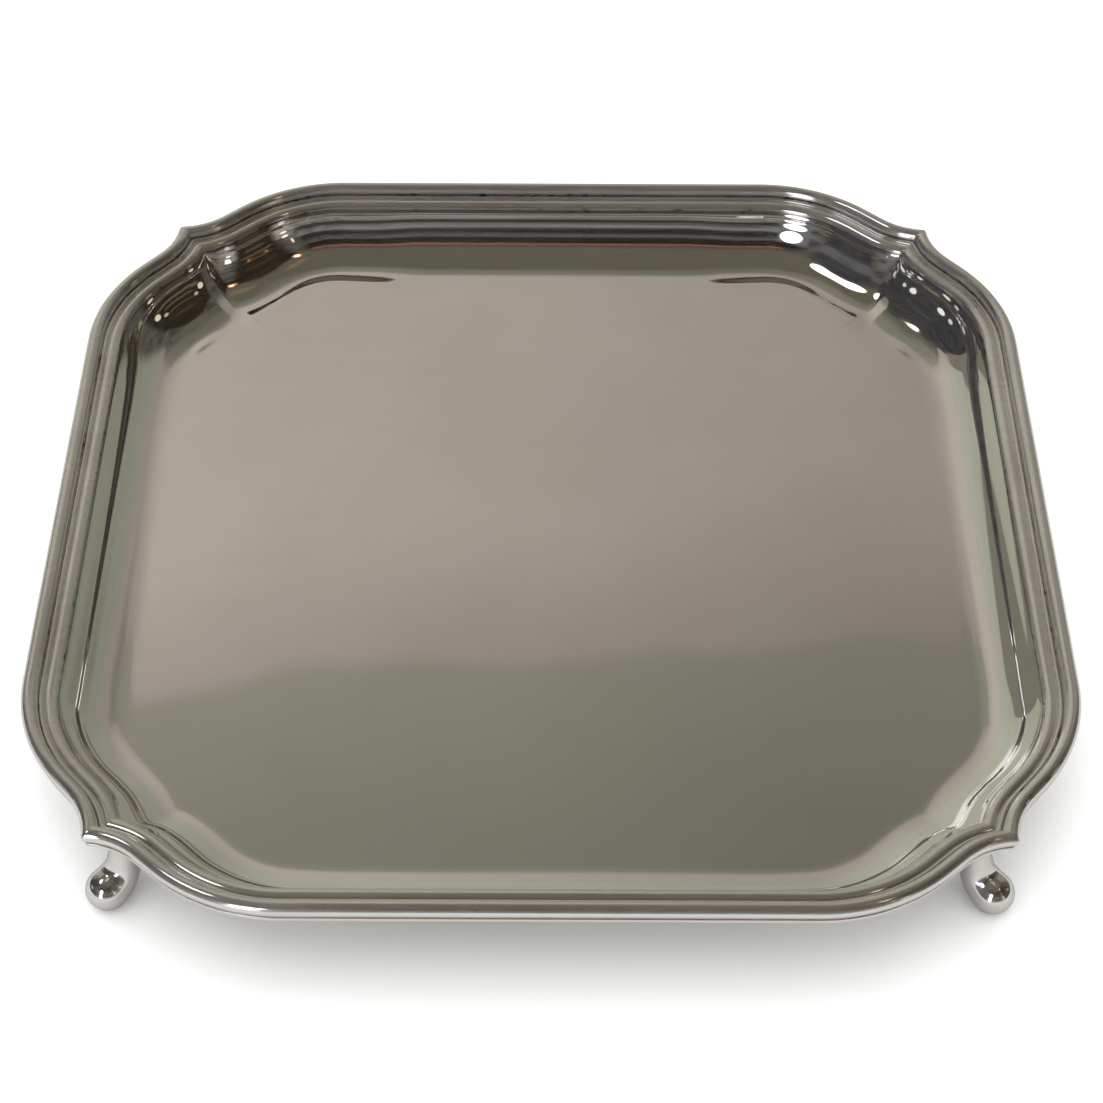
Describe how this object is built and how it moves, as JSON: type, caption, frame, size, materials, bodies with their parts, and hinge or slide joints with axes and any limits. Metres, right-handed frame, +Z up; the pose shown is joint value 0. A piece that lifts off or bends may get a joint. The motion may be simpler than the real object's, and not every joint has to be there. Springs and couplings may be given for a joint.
{
  "type": "silver salver",
  "caption": "Square polished silver salver with cut-in corners, a moulded border, a shallow curved well and short pad feet, for serving and presenting.",
  "frame": {"origin": "on the table, directly under the centre of the tray", "axes": "+Z up out of the tray; X and Y run along the sides, and the front side faces -Y"},
  "size_m": [0.254, 0.254, 0.0294],
  "materials": {
    "sheet_silver": "sterling sheet, mirror polished, with fine wipe marks",
    "border_silver": "drawn silver wire, polished, with tarnish in the grooves",
    "cast_silver": "cast silver, polished"
  },
  "bodies": {
    "root": {"plate": "sheet_silver", "border_front": "border_silver", "border_right": "border_silver", "border_back": "border_silver", "border_left": "border_silver", "foot_front_left": "cast_silver", "foot_front_right": "cast_silver", "foot_back_right": "cast_silver", "foot_back_left": "cast_silver"}
  },
  "joints": []
}
